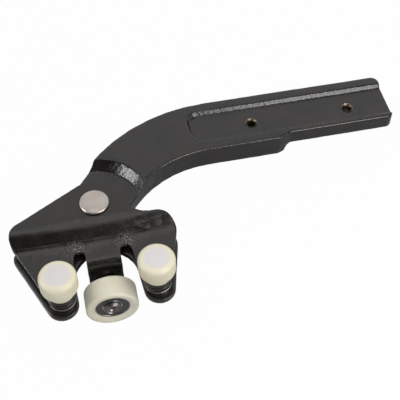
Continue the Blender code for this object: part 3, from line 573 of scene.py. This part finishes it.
def pin_head(points):
    """Pivot pin's head: a bevelled rim, a shallow ring groove and a face that sinks a little."""
    top = max(height for _, height in points)
    kept = [point for point in points if top - point[1] > PIN_HEAD_EDGE]
    outer = max(radius for radius, height in kept if height > top - PIN_HEAD_REACH)
    head = [(outer - inset * MM, top + depth * MM) for inset, depth in PIN_HEAD_STEPS]
    head.append((0.0, top - PIN_FACE_SINK))
    if kept[0][0] < 1e-6 and kept[0][1] < kept[-1][1]:
        return kept[:-1] + head if kept[-1][0] < 1e-6 else kept + head
    return head[::-1] + kept


def axle_end(points):
    """Riveted axle's front face: a stepped rim, a groove and a punched pit with sloping sides."""
    face = max(height for _, height in points)
    low = min(height for _, height in points)
    front = low if abs(low - ROLLER_AXLE.y) < abs(face - ROLLER_AXLE.y) else face
    sign = 1.0 if front == face else -1.0
    kept = [(radius, height) for radius, height in points
            if abs(height - front) >= AXLE_END_DEPTH or radius >= AXLE_END_RADIUS]
    end = [(radius * MM, front + sign * depth * MM) for radius, depth in AXLE_END_STEPS]
    if kept[0][0] < 1e-6:
        return kept + end
    return end[::-1] + kept


def make_turned():
    for side in ("left", "right"):
        respun(f"guide_roller_{side}", f"guide_cap_{side}", "cap_nylon", 2, 1.6 * MM)
        respun(f"guide_stud_{side}", f"guide_post_{side}", "zinc", 2, 0.3 * MM)
        respun(f"guide_washer_{side}", f"guide_shim_{side}", "black_coat", 2, 0.3 * MM)
        respun(f"plate_spacer_{side}", f"plate_collar_{side}", "zinc", 2, 0.2 * MM)
    respun("pivot_pin", "pivot_rivet", "zinc", 2, 0.3 * MM, pin_head)
    respun("pivot_washer", "pivot_ring", "zinc", 2, 0.3 * MM)
    respun("load_roller_tyre", "roller_tyre", "nylon", 1, 0.5 * MM, segments=128)
    respun("load_axle", "axle_rivet", "dark_steel", 1, 0.25 * MM, axle_end)
    respun("axle_washer", "axle_ring", "zinc", 1, 0.25 * MM)
    respun("axle_spacer", "axle_collar", "zinc", 1, 0.3 * MM)
    respun("bearing_outer_ring", "outer_race", "bearing_steel", 1, 0.2 * MM)
    respun("bearing_inner_ring", "inner_race", "bearing_steel", 1, 0.2 * MM)
    for side in ("front", "back"):
        respun(f"bearing_shield_{side}", f"race_shield_{side}", "shield", 1, 0.1 * MM)


make_turned()


def thread_rings():
    """Radius, depth and lean of each ring down a tapped hole: a bevelled seat, then crests and roots."""
    rings = [(SEAT_RADIUS, 0.03 * MM, 0.0), (SEAT_RADIUS - 0.2 * MM, -0.05 * MM, 0.0),
             (ROOT_RADIUS, -1.15 * MM, 0.0)]
    for half_turn in range(THREAD_TURNS * 2):
        radius = CREST_RADIUS if half_turn % 2 else ROOT_RADIUS
        rings.append((radius, THREAD_START - 0.5 * THREAD_PITCH * half_turn, THREAD_PITCH))
    return rings


def make_threads():
    """Bare metal seat and thread in each of the arm's two holes."""
    for number, side in enumerate((-1.0, 1.0), 1):
        solid = bmesh.new()
        rows = []
        for radius, depth, lean in thread_rings():
            row = []
            for step in range(THREAD_STEPS):
                angle = math.tau * step / THREAD_STEPS
                z = depth - lean * step / THREAD_STEPS
                row.append(solid.verts.new((radius * math.cos(angle), radius * math.sin(angle), z)))
            rows.append(row)
        for upper, lower in zip(rows, rows[1:]):
            for step in range(THREAD_STEPS):
                after = (step + 1) % THREAD_STEPS
                solid.faces.new((upper[step], upper[after], lower[after], lower[step]))
        bmesh.ops.translate(solid, verts=solid.verts, vec=(side * BOLT_SPACING / 2, 0.0, 0.0))
        mesh = bpy.data.meshes.new(f"tapped_hole_{number}")
        solid.to_mesh(mesh)
        solid.free()
        mesh.shade_smooth()
        add_piece(mesh, f"tapped_hole_{number}", "thread", "arm", "zinc")


make_threads()


def dress_hidden():
    """CAD nodes that stay as they are get their node materials."""
    for node, piece in frame["nodes"].items():
        if not piece.hide_render:
            piece.data.materials.clear()
            piece.data.materials.append(MATERIALS[SLOT_OF[node]])


dress_hidden()


# ---------------------------------------------------------------- stage, light and camera

def white_to_camera(tree, lit, share, rays):
    """Mixes white emission over a lit shader for the kinds of ray named."""
    path = tree.nodes.new("ShaderNodeLightPath")
    seen = path.outputs[rays[0]]
    for ray in rays[1:]:
        highest = tree.nodes.new("ShaderNodeMath")
        highest.operation = "MAXIMUM"
        tree.links.new(seen, highest.inputs[0])
        tree.links.new(path.outputs[ray], highest.inputs[1])
        seen = highest.outputs[0]
    amount = tree.nodes.new("ShaderNodeMath")
    amount.operation = "MULTIPLY"
    amount.inputs[1].default_value = share
    tree.links.new(seen, amount.inputs[0])
    white = tree.nodes.new("ShaderNodeEmission")
    white.inputs["Strength"].default_value = 1.0
    mix = tree.nodes.new("ShaderNodeMixShader")
    tree.links.new(amount.outputs[0], mix.inputs[0])
    tree.links.new(lit, mix.inputs[1])
    tree.links.new(white.outputs[0], mix.inputs[2])
    return mix.outputs[0]


def make_floor():
    size = 3.0
    mesh = bpy.data.meshes.new("floor")
    z = CAD_BOX[0][2] - 0.3 * MM
    corners = [(-size, -size, z), (size, -size, z), (size, size, z), (-size, size, z)]
    mesh.from_pydata(corners, [], [(0, 1, 2, 3)])
    floor = bpy.data.objects.new("floor", mesh)
    bpy.context.scene.collection.objects.link(floor)
    material = bpy.data.materials.new("pale_floor")
    material.use_nodes = True
    tree = material.node_tree
    principled = tree.nodes["Principled BSDF"]
    principled.inputs["Base Color"].default_value = (0.60, 0.60, 0.60, 1.0)
    principled.inputs["Roughness"].default_value = 0.9
    principled.inputs["Specular IOR Level"].default_value = 0.0
    shown = white_to_camera(tree, principled.outputs[0], 0.98, ("Is Camera Ray",))
    tree.links.new(shown, tree.nodes["Material Output"].inputs["Surface"])
    mesh.materials.append(material)


def make_world():
    world = bpy.data.worlds.new("studio")
    world.use_nodes = True
    bpy.context.scene.world = world
    tree = world.node_tree
    fill = tree.nodes["Background"]
    fill.inputs["Color"].default_value = (1.0, 1.0, 1.0, 1.0)
    fill.inputs["Strength"].default_value = 0.56
    rays = ("Is Camera Ray", "Is Glossy Ray", "Is Transmission Ray")
    shown = white_to_camera(tree, fill.outputs[0], 1.0, rays)
    tree.links.new(shown, tree.nodes["World Output"].inputs["Surface"])


def add_lamp(name, target, direction, distance, width, depth, radiance, glossy_only=False):
    """Soft panel of light at a distance from a target, facing it."""
    lamp = bpy.data.lights.new(name, "AREA")
    lamp.shape = "RECTANGLE"
    lamp.size = width
    lamp.size_y = depth
    lamp.energy = radiance * math.pi * width * depth
    panel = bpy.data.objects.new(name, lamp)
    bpy.context.scene.collection.objects.link(panel)
    heading = Vector(direction).normalized()
    panel.location = target + heading * distance
    panel.rotation_euler = heading.to_track_quat("Z", "Y").to_euler()
    panel.visible_camera = False
    panel.visible_diffuse = not glossy_only


FLAG_LOW = 9.0      # degrees up from the floor in front to the flag's lower edge, and on to its upper one
FLAG_HIGH = 106.0
FLAG_SPREAD = 56.0  # degrees to each side


def make_flag():
    """Dark studio card that arches over the front of the object, and that only reflections see."""
    centre = PIVOT + Vector((0.07, 0.02, 0.0))
    reach = 1.6
    columns, rows = 24, 16
    vertices = []
    for row in range(rows + 1):
        rise = math.radians(FLAG_LOW + (FLAG_HIGH - FLAG_LOW) * row / rows)
        for column in range(columns + 1):
            turn = math.radians(FLAG_SPREAD * (2.0 * column / columns - 1.0))
            front = math.cos(turn)
            around = Vector((math.sin(turn), -front * math.cos(rise), front * math.sin(rise)))
            vertices.append(centre + around * reach)
    faces = []
    for row in range(rows):
        for column in range(columns):
            corner = row * (columns + 1) + column
            faces.append((corner, corner + 1, corner + columns + 2, corner + columns + 1))
    mesh = bpy.data.meshes.new("flag")
    mesh.from_pydata(vertices, [], faces)
    flag = bpy.data.objects.new("flag", mesh)
    bpy.context.scene.collection.objects.link(flag)
    material = bpy.data.materials.new("dark_card")
    material.use_nodes = True
    shader = material.node_tree.nodes["Principled BSDF"]
    shader.inputs["Base Color"].default_value = (0.05, 0.045, 0.04, 1.0)
    shader.inputs["Roughness"].default_value = 1.0
    mesh.materials.append(material)
    flag.visible_camera = False
    flag.visible_diffuse = False
    flag.visible_shadow = False
    flag.visible_transmission = False


def make_lamps():
    shoulder = PIVOT + Vector((0.025, 0.018, 0.0))
    recess = Vector((0.0, 0.0, 0.0))
    add_lamp("left_panel", shoulder, (-0.91, -0.13, 0.38), 0.34, 0.13, 0.11, 13.0, glossy_only=True)
    add_lamp("front_panel", recess, (0.36, -0.62, 0.66), 0.47, 0.24, 0.17, 4.5)
    add_lamp("edge_strip", recess, (0.33, -0.84, 0.44), 0.47, 0.31, 0.34, 6.0, glossy_only=True)
    add_lamp("top_panel", recess, (-0.1, -0.1, 1.0), 1.3, 0.9, 0.9, 1.5)


CAMERA_LENS = 75.6
CAMERA_FROM_PIVOT = Vector((-0.00126, -0.30695, 0.40520))
CAMERA_RIGHT = Vector((0.97815, -0.20791, 0.0))
CAMERA_UP = Vector((0.16517, 0.77705, 0.60738))


def make_camera():
    camera = bpy.data.cameras.new("camera")
    camera.lens = CAMERA_LENS
    camera.sensor_width = 36.0
    camera.clip_start = 0.01
    holder = bpy.data.objects.new("camera", camera)
    bpy.context.scene.collection.objects.link(holder)
    turn = Matrix((CAMERA_RIGHT, CAMERA_UP, CAMERA_RIGHT.cross(CAMERA_UP))).transposed()
    holder.matrix_world = Matrix.Translation(PIVOT + CAMERA_FROM_PIVOT) @ turn.to_4x4()
    bpy.context.scene.camera = holder


make_floor()
make_flag()
make_world()
make_lamps()
make_camera()
bpy.context.scene.view_settings.view_transform = "Standard"
